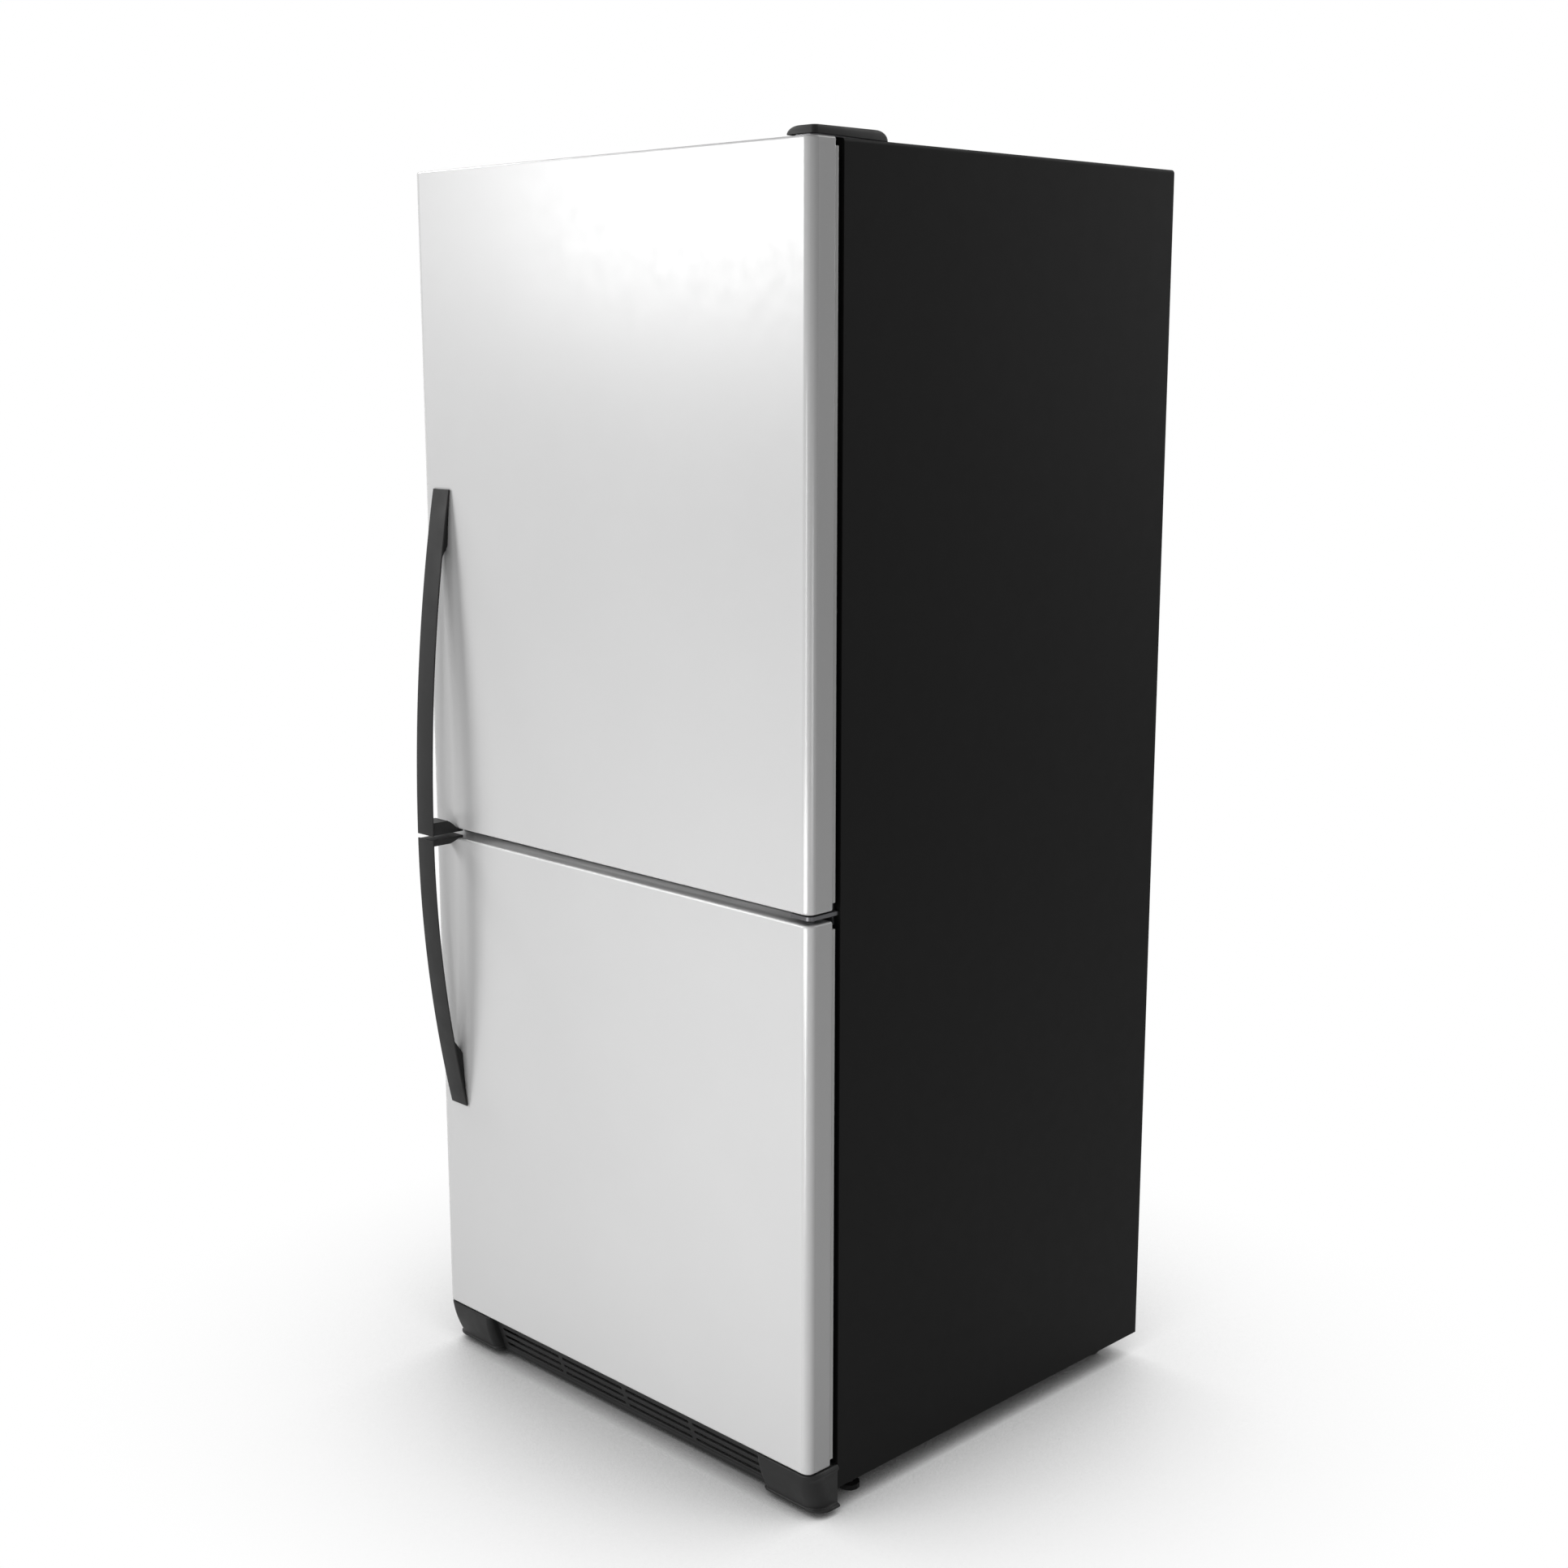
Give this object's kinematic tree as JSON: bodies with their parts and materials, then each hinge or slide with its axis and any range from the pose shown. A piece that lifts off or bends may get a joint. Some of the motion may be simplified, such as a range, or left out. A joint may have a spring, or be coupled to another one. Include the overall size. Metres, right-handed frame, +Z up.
{
  "type": "bottom-freezer refrigerator",
  "caption": "Upright refrigerator over a swing-door freezer: dark cabinet, light satin doors, bowed dark handles, slotted toe grille, shelves, crispers, bins and drawers inside.",
  "frame": {"origin": "floor level, at the middle of the footprint, handles included", "axes": "+X to the right when facing the doors, +Y to the back, +Z up"},
  "size_m": [0.762, 0.742, 1.709],
  "materials": {
    "door_skin": "satin",
    "cabinet_paint": "satin",
    "black_plastic": "satin",
    "galvanised_sheet": "dull",
    "hinge_steel": "satin",
    "rail_paint": "satin",
    "foam": "matte",
    "white_plastic": "satin",
    "gasket_rubber": "matte",
    "clear_plastic": "clear",
    "shelf_glass": "clear",
    "control_grey": "satin",
    "compressor_paint": "gloss",
    "coil_metal": "plain"
  },
  "bodies": {
    "cabinet": {"cabinet_wrapper": "cabinet_paint", "toe_grille": "black_plastic", "top_hinge_cover": "black_plastic", "machine_cover": "black_plastic", "drain_pan": "black_plastic", "back_panel": "galvanised_sheet", "base_divider": "galvanised_sheet", "base_frame": "galvanised_sheet", "roller_brackets": "galvanised_sheet", "top_hinge": "hinge_steel", "centre_hinge": "hinge_steel", "bottom_hinge": "hinge_steel", "mullion_rail": "rail_paint", "insulation_foam": "foam", "fridge_liner": "white_plastic", "freezer_liner": "white_plastic", "control_housing": "white_plastic", "evaporator_cover": "white_plastic", "shelf_frames": "white_plastic", "crisper_cover": "white_plastic", "freezer_rails": "white_plastic", "shelf_tracks": "white_plastic", "lamp_lens": "clear_plastic", "shelf_glass": "shelf_glass", "compressor": "compressor_paint", "fan_motors": "compressor_paint", "condenser_coil": "coil_metal", "evaporator_coil": "coil_metal"},
    "fridge_door": {"fridge_door_skin": "door_skin", "fridge_door_liner": "white_plastic", "fridge_door_foam": "foam", "fridge_door_gasket": "gasket_rubber", "fridge_door_handle": "black_plastic", "fridge_door_bins": "clear_plastic", "dairy_box": "white_plastic", "fridge_door_bushings": "control_grey"},
    "freezer_door": {"freezer_door_skin": "door_skin", "freezer_door_liner": "white_plastic", "freezer_door_foam": "foam", "freezer_door_gasket": "gasket_rubber", "freezer_door_handle": "black_plastic", "freezer_door_bins": "clear_plastic", "freezer_door_bushings": "control_grey"},
    "left_crisper": {"crisper_left": "clear_plastic"},
    "right_crisper": {"crisper_right": "clear_plastic"},
    "left_humidity_slide": {"humidity_slide_left": "control_grey"},
    "right_humidity_slide": {"humidity_slide_right": "control_grey"},
    "basket": {"freezer_basket": "white_plastic"},
    "drawer": {"freezer_drawer": "clear_plastic"},
    "flap": {"dairy_flap": "clear_plastic"},
    "fridge_temperature_dial": {"fridge_dial": "control_grey"},
    "freezer_temperature_dial": {"freezer_dial": "control_grey"},
    "switch_plunger": {"light_switch": "control_grey"},
    "left_foot": {"front_foot_left": "black_plastic"},
    "right_foot": {"front_foot_right": "black_plastic"},
    "left_roller": {"rear_roller_left": "black_plastic"},
    "right_roller": {"rear_roller_right": "black_plastic"},
    "condenser_fan_wheel": {"condenser_fan": "control_grey"},
    "evaporator_fan_wheel": {"evaporator_fan": "control_grey"}
  },
  "joints": [
    {"name": "fridge_door_hinge", "type": "hinge", "parent": "cabinet", "child": "fridge_door", "pos_m": [0.358, -0.301, 0.79], "axis": [0, 0, 1], "range_deg": [0, 130]},
    {"name": "freezer_door_hinge", "type": "hinge", "parent": "cabinet", "child": "freezer_door", "pos_m": [0.358, -0.301, 0.79], "axis": [0, 0, 1], "range_deg": [0, 130]},
    {"name": "left_crisper_slide", "type": "slide", "parent": "cabinet", "child": "left_crisper", "axis": [0, -1, 0], "range_m": [0, 0.2]},
    {"name": "right_crisper_slide", "type": "slide", "parent": "cabinet", "child": "right_crisper", "axis": [0, -1, 0], "range_m": [0, 0.2]},
    {"name": "basket_slide", "type": "slide", "parent": "cabinet", "child": "basket", "axis": [0, -1, 0], "range_m": [0, 0.2]},
    {"name": "drawer_slide", "type": "slide", "parent": "cabinet", "child": "drawer", "axis": [0, -1, 0], "range_m": [0, 0.2]},
    {"name": "light_switch_press", "type": "slide", "parent": "cabinet", "child": "switch_plunger", "axis": [0, -1, 0], "range_m": [0, 0.006]},
    {"name": "dairy_flap_hinge", "type": "hinge", "parent": "fridge_door", "child": "flap", "pos_m": [0, -0.1925, 1.5785], "axis": [1, 0, 0], "range_deg": [0, 80]},
    {"name": "fridge_dial_turn", "type": "hinge", "parent": "cabinet", "child": "fridge_temperature_dial", "pos_m": [-0.075, -0.15, 1.6252], "axis": [0, -1, 0], "range_deg": [-135, 135]},
    {"name": "freezer_dial_turn", "type": "hinge", "parent": "cabinet", "child": "freezer_temperature_dial", "pos_m": [0.075, -0.15, 1.6252], "axis": [0, -1, 0], "range_deg": [-135, 135]},
    {"name": "left_humidity_travel", "type": "slide", "parent": "cabinet", "child": "left_humidity_slide", "axis": [1, 0, 0], "range_m": [-0.02, 0.02]},
    {"name": "right_humidity_travel", "type": "slide", "parent": "cabinet", "child": "right_humidity_slide", "axis": [1, 0, 0], "range_m": [-0.02, 0.02]},
    {"name": "left_foot_turn", "type": "hinge", "parent": "cabinet", "child": "left_foot", "pos_m": [-0.341, -0.21, 0], "axis": [0, 0, 1], "continuous": true},
    {"name": "right_foot_turn", "type": "hinge", "parent": "cabinet", "child": "right_foot", "pos_m": [0.341, -0.21, 0], "axis": [0, 0, 1], "continuous": true},
    {"name": "left_roller_turn", "type": "hinge", "parent": "cabinet", "child": "left_roller", "pos_m": [-0.33, 0.325, 0.015], "axis": [1, 0, 0], "continuous": true},
    {"name": "right_roller_turn", "type": "hinge", "parent": "cabinet", "child": "right_roller", "pos_m": [0.33, 0.325, 0.015], "axis": [1, 0, 0], "continuous": true},
    {"name": "condenser_fan_spin", "type": "hinge", "parent": "cabinet", "child": "condenser_fan_wheel", "pos_m": [0.0777, 0.268, 0.15], "axis": [1, 0, 0], "continuous": true},
    {"name": "evaporator_fan_spin", "type": "hinge", "parent": "cabinet", "child": "evaporator_fan_wheel", "pos_m": [0, 0.263, 0.681], "axis": [0, -1, 0], "continuous": true}
  ],
  "couplings": [
    {"joint": "left_crisper_slide", "follows": "fridge_door_hinge", "m_per_rad": 0.088147},
    {"joint": "right_crisper_slide", "follows": "fridge_door_hinge", "m_per_rad": 0.088147},
    {"joint": "light_switch_press", "follows": "fridge_door_hinge", "m_per_rad": 0.002644},
    {"joint": "basket_slide", "follows": "freezer_door_hinge", "m_per_rad": 0.088147},
    {"joint": "drawer_slide", "follows": "freezer_door_hinge", "m_per_rad": 0.088147}
  ]
}
